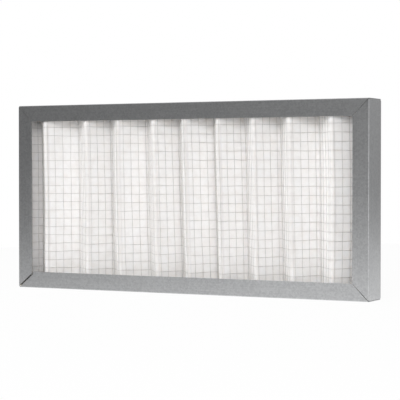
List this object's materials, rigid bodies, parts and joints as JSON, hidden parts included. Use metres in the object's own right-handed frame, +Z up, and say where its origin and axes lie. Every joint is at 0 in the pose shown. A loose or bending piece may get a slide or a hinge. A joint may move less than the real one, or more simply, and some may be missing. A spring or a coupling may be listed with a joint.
{
  "type": "cassette air filter",
  "caption": "Flat framed panel filter: a galvanised channel frame round a vertically pleated white nonwoven pack, with a square wire mesh over the front of the pleats.",
  "frame": {"origin": "centre of the underside of the bottom rail's web, midway between the front and back faces", "axes": "+X along the frame's width, +Y from the front face with the mesh to the back face, +Z up along the pleats"},
  "size_m": [0.592, 0.048, 0.287],
  "materials": {
    "galvanised_sheet": "zinc coated, fine spangle, half dull",
    "nonwoven_media": "bonded polyester fibre, matt",
    "galvanised_wire": "zinc coated wire, satin",
    "bonding_adhesive": "set hot melt, satin"
  },
  "bodies": {
    "root": {"top_rail": "galvanised_sheet", "bottom_rail": "galvanised_sheet", "left_rail": "galvanised_sheet", "right_rail": "galvanised_sheet", "filter_media": "nonwoven_media", "mesh_cross_wires": "galvanised_wire", "mesh_line_wires": "galvanised_wire", "top_bond": "bonding_adhesive", "bottom_bond": "bonding_adhesive", "left_bond": "bonding_adhesive", "right_bond": "bonding_adhesive"}
  },
  "joints": []
}
